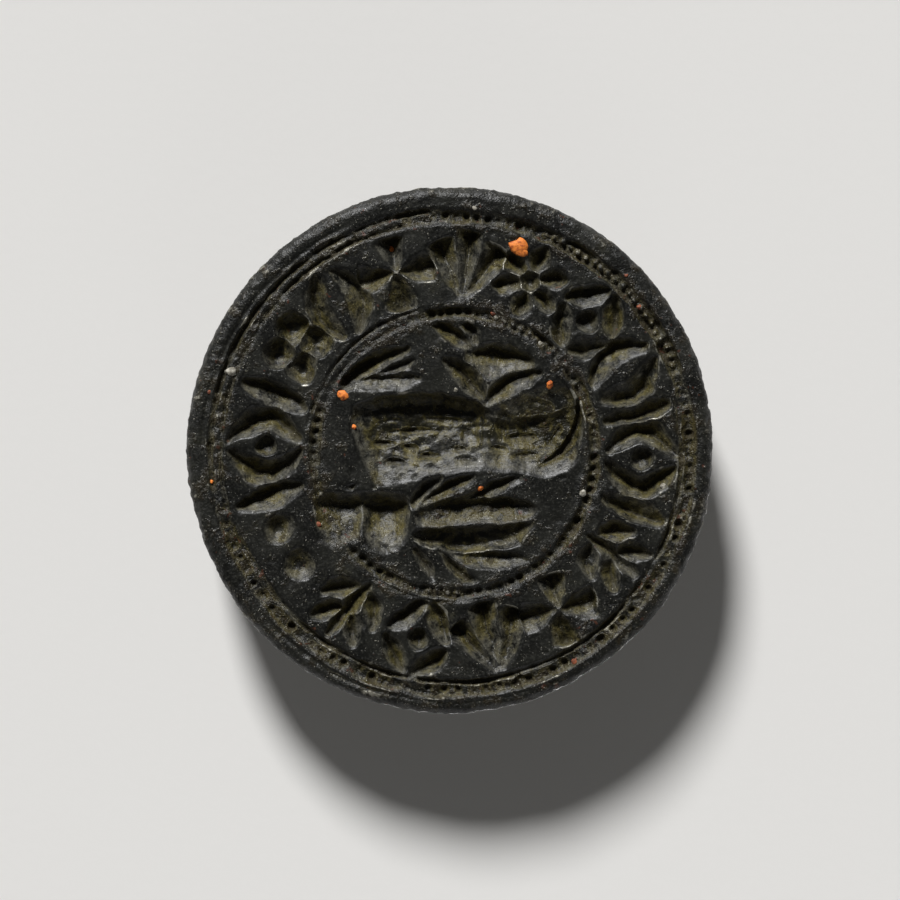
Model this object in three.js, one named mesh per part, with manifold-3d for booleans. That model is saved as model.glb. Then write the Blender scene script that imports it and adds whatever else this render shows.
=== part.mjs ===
// A round bronze seal matrix: a beast, bead rings and a band of ornament cut into its face,
// and behind it a leaf handle that folds flat. Millimetres, +Z up. It lies on its folded
// handle with the engraved face up, and the origin is on the surface under the die's centre.
import * as THREE from "three";
import { mergeVertices } from "three/addons/utils/BufferGeometryUtils.js";
import Module from "manifold-3d";

const wasm = await Module();
wasm.setup();

// Die
const faceDiameter = 32;
const dieThickness = 3.2;
const rimRounding = 0.55;
const rimTurns = [0, 30, 60, 90]; // degrees round the rim's rounding
const backChamfer = 0.4;
const dieSegments = 96;

// Bead rings and the band between them
const rimWidth = 1.15; // plain border outside the outer beads
const outerBeadWidth = 0.9;
const outerBeadDepth = 0.5;
const outerBeadCount = 124;
const innerBeadRadius = 8.46;
const innerBeadWidth = 0.8;
const innerBeadDepth = 0.45;
const innerBeadCount = 104;
const ringShift = [0.2, -0.2]; // the rings were struck a little off the die's centre
const bandMargin = 0.2; // plain strip between a bead ring and the ornament

// Engraving
const headDepth = 1.4; // the deepest cut, in the beast's head
const cutOvershoot = 0.35; // how far a cutter stands above the face
const wedgeOverrun = 0.12; // how far a wedge's blunt end leans out past its path
const tipLift = 0.05; // the end of a hollow's cutter above the face
const bowlLift = 0.12; // the middle of a round cutter above the face
const bowlRings = 10;
const beadNeck = 0.62; // width between two bead marks, as a share of a mark's
const lensTaper = 0.75; // below 1 a stroke keeps its width nearer to its points
const wedgeTaper = 0.9;
const steepWall = [[0.3, 0.72]]; // share of the way down a hollow's upper wall, share of its depth
const gentleWall = [[0.25, 0.42], [0.6, 0.8]];
const risingFloor = [[0.35, 0.84], [0.7, 0.48]]; // the same from its floor to its lower edge

// Hinge
const hingeInset = 5.4; // from the die's edge to the pin's axis
const hingeDrop = 1.75; // from the pin's axis to the surface it lies on
const pinDiameter = 1.6;
const pinFit = 0.02; // between pin and ear, on the radius
const pinClearance = 0.08; // between pin and leaf, on the radius
const sideClearance = 0.1; // between leaf and ear
const rivetHeadDiameter = 2.7;
const rivetHeadHeight = 0.6;
const rivetDome = [[0.85, 0.55], [0.45, 0.9]]; // share of a head's height, share of its radius
const rodSegments = 24;
const earThickness = 1.5;
const earFlat = 1.5; // width of the flat that each ear lies on
const earBaseWidth = 5;
const footThickness = 0.7;
const footLedge = 1.1; // the foot's ledge outside each ear
const footCorner = 0.8;
const footClearance = 0.2; // between foot and leaf
const bridgeWidth = 1.3;
const bridgeClearance = 0.3; // between bridge and knuckle

// Leaf handle
const leafInset = 1.8; // from the knop's end to the die's far edge
const leafThickness = 2.2;
const leafEdge = 0.35;
const knuckleWidth = 3;
const knuckleClearance = 0.1; // between the knuckle and the surface
const heelClearance = 0.1; // between the heel and the die's back when the leaf stands open
const heelHeight = 1.2;
const shankWidth = 2.8;
const shankWaist = 2.1; // its narrowest stretch is drawn towards this width
const shankShoulder = 1.3; // where the knuckle passes into the shank, in knuckle radii
const waistShare = 0.62; // where the waist lies on the way to the collar
const collarWidth = 4;
const collarLength = 1.1;
const collarThickness = 2.9;
const collarTuck = 0.75; // how far down the lower lobes the collar sits, in lobe radii
const lobeRadius = 2.1;
const lobeSpread = 2.25; // from the trefoil's centre to each lobe's centre
const lobeDirections = [90, 210, 330];
const curveSteps = 8; // straight pieces in each arc of a flat outline
const eyeDiameter = 2.6;
const knopFlat = 1.7; // diameter of the flat that the knop lies on
const knopOffset = 0.6; // how far the knop's centre is beyond the end lobe's
const knopSegments = 20;
const knopSteps = 6;

// Heights and radii that follow from these
const faceRadius = faceDiameter / 2;
const hingeDepth = footThickness + footClearance + leafThickness / 2; // from the die's back
const backHeight = hingeDepth + hingeDrop;
const faceHeight = backHeight + dieThickness;
const outerBeadRadius = faceRadius - rimWidth - outerBeadWidth / 2 - Math.hypot(...ringShift) / 2;
const bandInner = innerBeadRadius + innerBeadWidth / 2 + bandMargin;
const bandOuter = outerBeadRadius - outerBeadWidth / 2 - bandMargin;
const bandMiddle = (bandInner + bandOuter) / 2;
const fieldRadius = innerBeadRadius - innerBeadWidth / 2;
const hingeY = -(faceRadius - hingeInset);
const hingeZ = hingeDrop;
const leafLength = faceDiameter - hingeInset - leafInset;
const heelReach = hingeDepth - heelClearance;
const knuckleRadius = Math.min(hingeDrop, heelReach) - knuckleClearance;
const knopRadius = Math.hypot(hingeDrop, knopFlat / 2);
const earRadius = Math.hypot(hingeDrop, earFlat / 2);
const earInner = knuckleWidth / 2 + sideClearance;
const earOuter = earInner + earThickness;
const eyeY = leafLength - knopRadius - knopOffset - lobeSpread; // from the pin's axis
const collarY = eyeY - lobeSpread - lobeRadius * collarTuck - collarLength;

// The strokes are drawn for these sizes, and scaled to the field and the band.
const drawnFieldRadius = 8.06;
const drawnBandHeight = 3.95;
const fieldScale = fieldRadius / drawnFieldRadius;
const bandScale = (bandOuter - bandInner) / drawnBandHeight;

function finish(colour, roughness) {
  return new THREE.MeshStandardMaterial({ color: colour, roughness, metalness: 0.85 });
}

const darkBronze = finish(0x2a2b29, 0.5);
const wornBronze = finish(0x3d382f, 0.45);
const pinIron = finish(0x46413c, 0.55);

// Solids

function solidOf(geometry) {
  const bare = geometry.index ? geometry.toNonIndexed() : geometry.clone();
  bare.deleteAttribute("normal");
  bare.deleteAttribute("uv");
  const merged = mergeVertices(bare, 1e-4);
  const mesh = new wasm.Mesh({
    numProp: 3,
    vertProperties: new Float32Array(merged.attributes.position.array),
    triVerts: new Uint32Array(merged.index.array),
  });
  return new wasm.Manifold(mesh);
}

function meshOf(name, solid, material) {
  const { vertProperties, triVerts } = solid.getMesh();
  const geometry = new THREE.BufferGeometry();
  geometry.setAttribute("position", new THREE.BufferAttribute(vertProperties, 3));
  geometry.setIndex(new THREE.BufferAttribute(triVerts, 1));
  geometry.computeVertexNormals();
  const mesh = new THREE.Mesh(geometry, material);
  mesh.name = name;
  return mesh;
}

// Skins a row of sections with as many points each. A closed row joins its last section to its
// first; an open one runs to a point at each end.
function loft(sections, ends) {
  const points = sections.flat();
  const size = sections[0].length;
  const index = [];
  const rows = ends ? sections.length - 1 : sections.length;
  for (let row = 0; row < rows; row++) {
    const here = row * size;
    const next = ((row + 1) % sections.length) * size;
    for (let i = 0; i < size; i++) {
      const j = (i + 1) % size;
      index.push(here + i, here + j, next + j, here + i, next + j, next + i);
    }
  }
  if (ends) {
    const last = (sections.length - 1) * size;
    points.push(ends[0], ends[1]);
    for (let i = 0; i < size; i++) {
      const j = (i + 1) % size;
      index.push(points.length - 2, j, i, points.length - 1, last + i, last + j);
    }
  }
  const geometry = new THREE.BufferGeometry().setFromPoints(points);
  geometry.setIndex(index);
  const solid = solidOf(geometry);
  if (solid.volume() > 0) return solid;
  geometry.setIndex(index.reverse());
  return solidOf(geometry);
}

// Where a drawn point lands on the face: the middle field, or the band at a clockwise angle
const field = {
  scale: fieldScale,
  at: ([x, y]) => new THREE.Vector2(x * fieldScale, y * fieldScale),
};

function onBand(angle, turn = 0) {
  const around = THREE.MathUtils.degToRad(angle);
  const own = THREE.MathUtils.degToRad(turn);
  const at = ([u, v]) => {
    const along = (u * Math.cos(own) + v * Math.sin(own)) * bandScale;
    const out = bandMiddle + (v * Math.cos(own) - u * Math.sin(own)) * bandScale;
    return new THREE.Vector2(
      ringShift[0] + out * Math.sin(around) + along * Math.cos(around),
      ringShift[1] + out * Math.cos(around) - along * Math.sin(around),
    );
  };
  return { scale: bandScale, at };
}

// How full a stroke is along its length: a lens has two points, a wedge one blunt end
const fullness = {
  lens: (t) => Math.sin(Math.PI * t) ** lensTaper,
  wedge: (t) => Math.sin((Math.PI / 2) * t) ** wedgeTaper,
};

// One pass of a square graver: a V-shaped groove along a curve. Lean moves its bottom to the
// left (below zero) or the right of the way it runs.
function stroke(place, path, { width, depth, lean = 0, shape = "lens", steps = 6 }) {
  const curve = new THREE.SplineCurve(path.map(place.at));
  const sections = [];
  const from = 0.5 / steps;
  const to = shape === "lens" ? 1 - from : 1;
  for (let i = 0; i < steps; i++) {
    const t = from + ((to - from) * i) / (steps - 1);
    const full = fullness[shape](t);
    const middle = curve.getPoint(t);
    const along = curve.getTangent(t);
    const right = new THREE.Vector2(along.y, -along.x);
    const half = (width / 2) * full * place.scale;
    const deep = depth * full * place.scale;
    const spread = 1 + cutOvershoot / deep; // the walls go on above the face at their own slope
    const bottom = lean * half;
    const at = (out, z) => {
      const spot = middle.clone().addScaledVector(right, out);
      return new THREE.Vector3(spot.x, spot.y, z);
    };
    sections.push([
      at(bottom - (half + bottom) * spread, faceHeight + cutOvershoot),
      at(bottom + (half - bottom) * spread, faceHeight + cutOvershoot),
      at(bottom, faceHeight - deep),
    ]);
  }
  const tips = [curve.getPoint(0), curve.getPoint(1)];
  if (shape === "wedge") tips[1].addScaledVector(curve.getTangent(1), wedgeOverrun);
  return loft(
    sections,
    tips.map((tip) => new THREE.Vector3(tip.x, tip.y, faceHeight + cutOvershoot)),
  );
}

// A hollow cut by several passes. Each station holds x, the upper edge, the floor, the lower
// edge and the depth; below the upper wall the floor rises to the lower edge.
function hollow(place, start, stations, end, wall = steepWall) {
  const between = (a, b, share) => a + (b - a) * share;
  const sections = stations.map(([x, upper, floor, lower, depth]) => {
    const at = (y, drop) => {
      const spot = place.at([x, y]);
      return new THREE.Vector3(spot.x, spot.y, faceHeight - drop * place.scale);
    };
    return [
      at(upper, -cutOvershoot),
      at(upper, 0),
      ...wall.map(([share, drop]) => at(between(upper, floor, share), depth * drop)),
      at(floor, depth),
      ...risingFloor.map(([share, drop]) => at(between(floor, lower, share), depth * drop)),
      at(lower, 0),
      at(lower, -cutOvershoot),
    ];
  });
  const tips = [start, end].map((tip) => {
    const spot = place.at(tip);
    return new THREE.Vector3(spot.x, spot.y, faceHeight + tipLift);
  });
  return loft(sections, tips);
}

// A round punch or scorper mark. The ball's centre is above the face, so its wall leans out.
function bowl(place, centre, { across, down = across, depth, segments = 16 }) {
  const spot = place.at(centre);
  const reach = depth * place.scale + bowlLift;
  const spread = place.scale / Math.sqrt(1 - (bowlLift / reach) ** 2);
  const ball = new THREE.SphereGeometry(1, segments, bowlRings)
    .rotateX(Math.PI / 2)
    .scale((across / 2) * spread, (down / 2) * spread, reach)
    .translate(spot.x, spot.y, faceHeight + bowlLift);
  return solidOf(ball);
}

// A ring of touching bead marks: a groove that swells at each mark and narrows between them
function beadRing({ radius, width, depth, count }) {
  const sections = [];
  for (let i = 0; i < count * 2; i++) {
    const around = (Math.PI * i) / count;
    const full = i % 2 ? beadNeck : 1;
    const half = (width / 2) * full;
    const deep = depth * full;
    const at = (out, z) =>
      new THREE.Vector3(
        ringShift[0] + out * Math.sin(around),
        ringShift[1] + out * Math.cos(around),
        z,
      );
    sections.push([
      at(radius - half, faceHeight),
      at(radius - half, faceHeight + cutOvershoot),
      at(radius + half, faceHeight + cutOvershoot),
      at(radius + half, faceHeight),
      at(radius, faceHeight - deep),
    ]);
  }
  return loft(sections, null);
}

// The beast: body, head, wing, tail and legs, drawn on the middle field

function bodyCuts() {
  const chest = hollow(
    field,
    [-6.1, 1.4],
    [
      [-5.7, 2.7, 2.1, -0.2, 0.45],
      [-5.1, 3.05, 2.35, -1.3, 0.85],
      [-4.4, 3.25, 2.5, -2.34, 1.1],
      [-2.8, 3.42, 2.66, -2.02, 1.25],
      [-0.6, 3.42, 2.66, -1.62, 1.3],
      [1.4, 3.0, 2.26, -1.38, 1.1],
      [2.6, 2.4, 1.6, -1.2, 0.75],
    ],
    [3.6, 0.9],
  );
  const haunch = hollow(
    field,
    [0.4, 0.6],
    [
      [1.5, 2.1, 0.9, -1.2, 0.6],
      [3.0, 3.05, 1.25, -1.35, 0.95],
      [4.4, 3.7, 1.35, -1.56, 1.1],
      [5.9, 4.05, 1.4, -1.62, 1.1],
      [7.0, 4.05, 1.4, -1.3, 0.95],
      [7.6, 3.4, 1.25, -0.8, 0.65],
    ],
    [8.0, 0.9],
    gentleWall,
  );
  return [chest, haunch];
}

function headCuts() {
  return [
    bowl(field, [-6.66, -4.2], { across: 3.1, down: 3.6, depth: 1.05, segments: 20 }),
    bowl(field, [-3.84, -4.38], { across: 3.2, down: 3.9, depth: headDepth, segments: 24 }),
    stroke(field, [[-7.9, -2.7], [-5.2, -2.62], [-2.4, -3.2]], { width: 1.3, depth: 1.0 }),
  ];
}

// The wing's three long feathers
function featherCuts() {
  return [
    hollow(
      field,
      [-2.52, -4.2],
      [
        [-1.5, -3.3, -3.66, -4.86, 0.6],
        [0.6, -2.9, -3.25, -4.56, 0.8],
        [3.0, -2.76, -3.16, -4.44, 0.8],
        [4.8, -3.1, -3.42, -4.2, 0.5],
      ],
      [5.52, -3.66],
    ),
    hollow(
      field,
      [-2.58, -5.16],
      [
        [-1.68, -4.8, -5.46, -5.75, 0.7],
        [0.0, -4.5, -5.76, -6.16, 1.05],
        [1.5, -4.44, -5.82, -6.28, 1.1],
        [3.0, -4.38, -5.46, -6.04, 0.9],
        [4.2, -4.26, -4.92, -5.64, 0.6],
      ],
      [5.28, -4.26],
    ),
    hollow(
      field,
      [-0.6, -6.06],
      [
        [0.3, -6.06, -6.28, -6.76, 0.45],
        [1.8, -6.1, -6.42, -7.2, 0.65],
        [3.6, -6.12, -6.46, -7.2, 0.55],
      ],
      [5.1, -6.54],
    ),
  ];
}

// Each cut of the graver: its path, width, depth, and which way its bottom leans
function limbCuts() {
  const barbs = [
    [[[-0.4, -1.5], [-1.5, -2.45], [-2.6, -3.8]], 1.15, 0.85, 0.2],
    [[[1.8, -1.45], [0.3, -2.1], [-1.08, -2.95], [-2.1, -3.6]], 1.05, 0.8, 0.3],
    [[[4.7, -1.6], [3.0, -2.1], [1.5, -2.85], [0.0, -3.24]], 0.95, 0.75, 0.3],
    [[[-2.16, -5.7], [-1.56, -6.78], [-0.96, -8.0]], 0.8, 0.6, 0],
    [[[-0.7, -6.0], [0.48, -7.2], [1.7, -8.3]], 1.05, 0.75, 0.2],
  ];
  const legs = [
    [[[2.0, 2.4], [3.0, 3.5], [4.2, 4.2], [5.8, 4.75]], 1.5, 1.0, -0.3],
    [[[0.7, 5.75], [2.9, 5.3], [5.3, 5.0]], 2.5, 1.05, -0.5],
    [[[-1.5, 8.2], [0.0, 7.0], [1.8, 5.7]], 1.15, 0.75, -0.2],
    [[[0.5, 8.35], [1.14, 7.38], [1.7, 6.2]], 1.1, 0.65, 0],
    [[[-0.6, 5.6], [0.9, 4.5], [2.4, 2.55]], 1.6, 0.95, 0],
    [[[-6.9, 3.3], [-5.9, 4.4], [-4.3, 5.35], [-2.1, 6.3]], 1.6, 1.05, -0.2],
    [[[-4.5, 4.5], [-3.2, 4.95], [-2.0, 5.5]], 0.95, 0.65, -0.3],
    [[[-6.3, 3.85], [-4.0, 4.1], [-1.5, 4.2]], 1.35, 0.6, -0.4],
  ];
  const tail = [
    [[[7.7, 3.6], [7.8, 1.92], [7.2, 0.4], [6.3, -0.5], [5.0, -1.2]], 1.15, 1.4, 0.2],
    [[[6.9, 2.9], [6.7, 1.56], [6.0, 0.42], [4.9, -0.3]], 0.7, 1.3, 0],
  ];
  return [...barbs, ...legs, ...tail].map(([path, width, depth, lean]) =>
    stroke(field, path, { width, depth, lean }),
  );
}

// Ornament for the band, each drawn about its own middle: across, then outwards

function sprig(place) {
  const leaf = { width: 1.25, depth: 0.8, steps: 5 };
  return [
    stroke(place, [[0, -1.95], [0, 1.95]], { width: 1.15, depth: 0.85, steps: 5 }),
    stroke(place, [[-0.15, -1.35], [-0.95, -0.85], [-1.8, 0.25]], leaf),
    stroke(place, [[0.15, -1.35], [0.95, -0.85], [1.8, 0.25]], leaf),
    stroke(place, [[-0.1, 0.0], [-0.75, 0.5], [-1.45, 1.65]], leaf),
    stroke(place, [[0.1, 0.0], [0.75, 0.5], [1.45, 1.65]], leaf),
  ];
}

function rosette(place) {
  const petals = 6;
  const cuts = [bowl(place, [0, 0], { across: 1.1, depth: 0.6, segments: 10 })];
  for (let i = 0; i < petals; i++) {
    const around = (2 * Math.PI * i) / petals;
    const ray = [0.45, 2.05].map((out) => [out * Math.sin(around), out * Math.cos(around)]);
    cuts.push(stroke(place, ray, { width: 1.35, depth: 0.8, steps: 4 }));
  }
  return cuts;
}

function lozenge(place) {
  const corners = [[0, 2.05], [1.7, 0], [0, -2.05], [-1.7, 0]];
  const cuts = [bowl(place, [0, 0], { across: 1.2, depth: 0.65, segments: 10 })];
  corners.forEach((corner, i) => {
    const next = corners[(i + 1) % corners.length];
    cuts.push(stroke(place, [corner, next], { width: 1.3, depth: 0.85, steps: 4, lean: -0.3 }));
  });
  return cuts;
}

function quatrefoil(place) {
  const lobes = [[0, 1.08], [1.02, 0], [0, -1.08], [-1.02, 0]];
  return lobes.map((lobe) => bowl(place, lobe, { across: 1.8, depth: 0.8, segments: 12 }));
}

function leafPair(place) {
  return [
    stroke(place, [[-0.25, -2], [-1.15, 0], [-0.2, 2]], { width: 1.5, depth: 0.9, lean: -0.3 }),
    stroke(place, [[0.25, -2], [1.15, 0], [0.2, 2]], { width: 1.5, depth: 0.9, lean: 0.3 }),
  ];
}

// Two crescents round a pellet
function almond(place) {
  return [
    stroke(place, [[-0.1, -2.05], [-1.55, 0], [-0.1, 2.05]], { width: 1.5, depth: 0.95 }),
    stroke(place, [[0.1, -2.05], [1.55, 0], [0.1, 2.05]], { width: 1.5, depth: 0.95 }),
    bowl(place, [0, 0], { across: 1.2, depth: 0.6, segments: 12 }),
  ];
}

// Three broad petals on one foot
function fan(place) {
  const petal = { width: 1.7, depth: 0.9, shape: "wedge", steps: 4 };
  return [[-1.6, 1.1], [0, 1.85], [1.6, 1.1]].map((tip) => stroke(place, [[0, -1.9], tip], petal));
}

function crossPattee(place) {
  const arms = [[0, 1.85], [1.95, 0], [0, -1.85], [-1.95, 0]];
  return arms.map((tip) =>
    stroke(place, [[0, 0], tip], { width: 1.75, depth: 0.85, shape: "wedge", steps: 4 }),
  );
}

// A single leaf set between two larger ornaments
function barleycorn(place) {
  return [stroke(place, [[0, -2], [0, 2]], { width: 1.45, depth: 0.9, lean: 0.3 })];
}

function pellets(place) {
  return [[0.1, 1.1], [-0.1, -1.05]].map((spot) =>
    bowl(place, spot, { across: 1.5, depth: 0.8, segments: 14 }),
  );
}

// Clockwise from the top: what is cut, its angle, and its own turn
const ornaments = [
  [fan, 4, 4],
  [rosette, 24, 0],
  [lozenge, 45.5, -5],
  [leafPair, 64.5, -12],
  [barleycorn, 77, -4],
  [almond, 92, 4],
  [barleycorn, 107, 6],
  [sprig, 122.5, 10],
  [crossPattee, 146, 20],
  [fan, 168.5, 176],
  [lozenge, 191, 6],
  [sprig, 214, 4],
  [pellets, 240.5, 84],
  [barleycorn, 257, -6],
  [almond, 272.5, -3],
  [barleycorn, 288, 8],
  [quatrefoil, 304, 40],
  [leafPair, 322.5, 14],
  [crossPattee, 342.5, 6],
];

function dieDisc() {
  const profile = [new THREE.Vector2(0, backHeight)];
  profile.push(new THREE.Vector2(faceRadius - backChamfer, backHeight));
  profile.push(new THREE.Vector2(faceRadius, backHeight + backChamfer));
  for (const angle of rimTurns) {
    const turn = THREE.MathUtils.degToRad(angle);
    profile.push(
      new THREE.Vector2(
        faceRadius - rimRounding * (1 - Math.cos(turn)),
        faceHeight - rimRounding * (1 - Math.sin(turn)),
      ),
    );
  }
  profile.push(new THREE.Vector2(0, faceHeight));
  const blank = new THREE.LatheGeometry(profile, dieSegments).rotateX(Math.PI / 2);
  let solid = solidOf(blank);
  const rings = [
    { radius: outerBeadRadius, width: outerBeadWidth, depth: outerBeadDepth, count: outerBeadCount },
    { radius: innerBeadRadius, width: innerBeadWidth, depth: innerBeadDepth, count: innerBeadCount },
  ];
  const beast = [...bodyCuts(), ...headCuts(), ...featherCuts(), ...limbCuts()];
  const cuts = [...rings.map(beadRing), ...beast];
  for (const [ornament, angle, turn] of ornaments) cuts.push(...ornament(onBand(angle, turn)));
  for (const cut of cuts) solid = solid.subtract(cut);
  return solid;
}

// Behind the die: bracket, rivet and leaf. Side profiles are drawn across (Y) and up (Z) about
// the pin's axis, then stood on the X axis.

function slab(shape, thickness) {
  return new THREE.ExtrudeGeometry(shape, {
    depth: thickness,
    bevelEnabled: false,
    curveSegments: curveSteps,
  });
}

// Turns a side profile drawn in X and Y into a slab across the X axis, from x to x + thickness
function acrossX(shape, x, thickness) {
  const turned = new THREE.Matrix4().makeBasis(
    new THREE.Vector3(0, 1, 0),
    new THREE.Vector3(0, 0, 1),
    new THREE.Vector3(1, 0, 0),
  );
  const place = new THREE.Matrix4().makeTranslation(x, hingeY, hingeZ);
  return solidOf(slab(shape, thickness).applyMatrix4(turned).applyMatrix4(place));
}

function rodAcrossX(radius, from, to) {
  const rod = new THREE.CylinderGeometry(radius, radius, to - from, rodSegments)
    .rotateZ(-Math.PI / 2)
    .translate((from + to) / 2, hingeY, hingeZ);
  return solidOf(rod);
}

function earProfile() {
  const base = hingeDepth;
  const flat = earFlat / 2;
  const low = Math.atan2(-hingeDrop, flat);
  const shape = new THREE.Shape();
  shape.moveTo(earBaseWidth / 2, base);
  shape.lineTo(-earBaseWidth / 2, base);
  shape.lineTo(-earBaseWidth / 2, base - footThickness);
  shape.lineTo(-earRadius, 0);
  shape.absarc(0, 0, earRadius, Math.PI, Math.PI * 2 - (Math.PI + low), false);
  shape.lineTo(flat, -hingeDrop);
  shape.absarc(0, 0, earRadius, low, 0, false);
  shape.lineTo(earBaseWidth / 2, base - footThickness);
  return shape;
}

// The foot is a plate with a slot for the knuckle, open towards the die's edge
function footPlate() {
  const side = earOuter + footLedge;
  const back = -(earBaseWidth + footLedge) / 2;
  const slotEnd = heelReach + bridgeClearance;
  const front = Math.max(-back, slotEnd + bridgeWidth);
  const shape = new THREE.Shape();
  shape.moveTo(earInner, back);
  shape.lineTo(side - footCorner, back);
  shape.lineTo(side, back + footCorner);
  shape.lineTo(side, front - footCorner);
  shape.lineTo(side - footCorner, front);
  shape.lineTo(-side + footCorner, front);
  shape.lineTo(-side, front - footCorner);
  shape.lineTo(-side, back + footCorner);
  shape.lineTo(-side + footCorner, back);
  shape.lineTo(-earInner, back);
  shape.lineTo(-earInner, slotEnd);
  shape.lineTo(earInner, slotEnd);
  return solidOf(slab(shape, footThickness).translate(0, hingeY, backHeight - footThickness));
}

function hingeBracket() {
  let solid = footPlate();
  for (const x of [earInner, -earOuter]) solid = solid.add(acrossX(earProfile(), x, earThickness));
  return solid.subtract(rodAcrossX(pinDiameter / 2 + pinFit, -faceRadius, faceRadius));
}

// A shank between two hammered heads
function hingePin() {
  const shank = pinDiameter / 2;
  const head = rivetHeadDiameter / 2;
  const dome = rivetDome.map(
    ([rise, share]) => new THREE.Vector2(head * share, earOuter + rivetHeadHeight * rise),
  );
  const half = [
    new THREE.Vector2(0, earOuter + rivetHeadHeight),
    ...dome,
    new THREE.Vector2(head, earOuter),
    new THREE.Vector2(shank, earOuter),
  ];
  const farHalf = half.map((point) => new THREE.Vector2(point.x, -point.y));
  const turned = new THREE.LatheGeometry([...farHalf, ...half.reverse()], rodSegments)
    .rotateZ(-Math.PI / 2)
    .translate(0, hingeY, hingeZ);
  return solidOf(turned);
}


// The shank's outline seen from the back, along +Y from the pin's axis
function shankOutline() {
  const neck = knuckleWidth / 2;
  const side = shankWidth / 2;
  const shoulder = knuckleRadius * shankShoulder;
  const waist = collarY * waistShare;
  const shape = new THREE.Shape();
  shape.moveTo(-neck, 0);
  shape.lineTo(neck, 0);
  shape.lineTo(side, shoulder);
  shape.quadraticCurveTo(shankWaist / 2, waist, side, collarY);
  shape.lineTo(side, eyeY);
  shape.lineTo(-side, eyeY);
  shape.lineTo(-side, collarY);
  shape.quadraticCurveTo(-shankWaist / 2, waist, -side, shoulder);
  return shape;
}

function chamferedPlate(shape, thickness, edge) {
  const geometry = new THREE.ExtrudeGeometry(shape, {
    depth: thickness - 2 * edge,
    bevelEnabled: true,
    bevelThickness: edge,
    bevelSize: edge,
    bevelOffset: -edge,
    bevelSegments: 1,
    curveSegments: curveSteps,
  });
  return solidOf(geometry.translate(0, hingeY, hingeZ - thickness / 2 + edge));
}

function heelProfile() {
  const shape = new THREE.Shape();
  shape.moveTo(0, -knuckleRadius);
  shape.lineTo(-heelReach + leafEdge, -heelHeight - leafEdge);
  shape.lineTo(-heelReach, -heelHeight);
  shape.lineTo(-heelReach, -heelHeight / 2);
  shape.lineTo(-knuckleRadius, 0);
  shape.lineTo(0, 0);
  return shape;
}

function handleLeaf() {
  const middle = [0, eyeY];
  const disc = (x, y, radius) => new THREE.Shape().absarc(x, y, radius, 0, Math.PI * 2, false);
  let solid = rodAcrossX(knuckleRadius, -knuckleWidth / 2, knuckleWidth / 2);
  solid = solid.add(acrossX(heelProfile(), -knuckleWidth / 2, knuckleWidth));
  solid = solid.add(chamferedPlate(shankOutline(), leafThickness, leafEdge));
  for (const angle of lobeDirections) {
    const turn = THREE.MathUtils.degToRad(angle);
    const x = middle[0] + lobeSpread * Math.cos(turn);
    const y = middle[1] + lobeSpread * Math.sin(turn);
    solid = solid.add(chamferedPlate(disc(x, y, lobeRadius), leafThickness, leafEdge));
  }
  const collar = new THREE.Shape();
  collar.moveTo(-collarWidth / 2, collarY);
  collar.lineTo(collarWidth / 2, collarY);
  collar.lineTo(collarWidth / 2, collarY + collarLength);
  collar.lineTo(-collarWidth / 2, collarY + collarLength);
  solid = solid.add(chamferedPlate(collar, collarThickness, leafEdge));
  solid = solid.add(knop());
  solid = solid.subtract(eyeCutter());
  return solid.subtract(rodAcrossX(pinDiameter / 2 + pinClearance, -faceRadius, faceRadius));
}

// The round knop at the leaf's end, flattened where it lies on the table and against the back
function knop() {
  const profile = [new THREE.Vector2(0, -hingeDrop)];
  const tilt = Math.asin(hingeDrop / knopRadius);
  for (let i = 0; i <= knopSteps; i++) {
    const turn = -tilt + (2 * tilt * i) / knopSteps;
    profile.push(new THREE.Vector2(knopRadius * Math.cos(turn), knopRadius * Math.sin(turn)));
  }
  profile.push(new THREE.Vector2(0, hingeDrop));
  const ball = new THREE.LatheGeometry(profile, knopSegments)
    .rotateX(Math.PI / 2)
    .translate(0, hingeY + leafLength - knopRadius, hingeZ);
  return solidOf(ball);
}

function eyeCutter() {
  const eye = new THREE.CylinderGeometry(
    eyeDiameter / 2,
    eyeDiameter / 2,
    2 * leafThickness,
    rodSegments,
  );
  return solidOf(eye.rotateX(Math.PI / 2).translate(0, hingeY + eyeY, hingeZ));
}

const matrix = new THREE.Group();
matrix.add(meshOf("die_disc", dieDisc(), darkBronze));
matrix.add(meshOf("hinge_bracket", hingeBracket(), wornBronze));
matrix.add(meshOf("hinge_pin", hingePin(), pinIron));
matrix.add(meshOf("handle_leaf", handleLeaf(), wornBronze));

export default matrix;
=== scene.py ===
import itertools
import math

import bpy
import numpy as np
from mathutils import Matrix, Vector
from mathutils.bvhtree import BVHTree


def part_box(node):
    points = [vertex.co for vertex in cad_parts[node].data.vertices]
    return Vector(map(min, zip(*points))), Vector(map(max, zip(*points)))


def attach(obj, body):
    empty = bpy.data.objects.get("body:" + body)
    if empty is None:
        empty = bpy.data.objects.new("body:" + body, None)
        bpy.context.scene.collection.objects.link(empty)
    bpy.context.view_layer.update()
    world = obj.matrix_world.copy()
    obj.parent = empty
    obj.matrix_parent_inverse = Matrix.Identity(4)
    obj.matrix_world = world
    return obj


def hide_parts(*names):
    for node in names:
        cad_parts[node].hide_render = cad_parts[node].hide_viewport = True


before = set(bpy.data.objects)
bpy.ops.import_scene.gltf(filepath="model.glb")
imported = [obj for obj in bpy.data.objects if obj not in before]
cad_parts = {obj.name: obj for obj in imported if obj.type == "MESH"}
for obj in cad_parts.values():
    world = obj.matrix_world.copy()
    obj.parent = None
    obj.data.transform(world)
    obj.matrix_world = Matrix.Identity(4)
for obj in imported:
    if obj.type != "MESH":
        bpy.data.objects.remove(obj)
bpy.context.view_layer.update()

# A bronze seal matrix lying face up on its folded leaf handle. Shapes are worked out in
# millimetres and go into the meshes in metres.
mm = 0.001


# Noise

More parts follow.
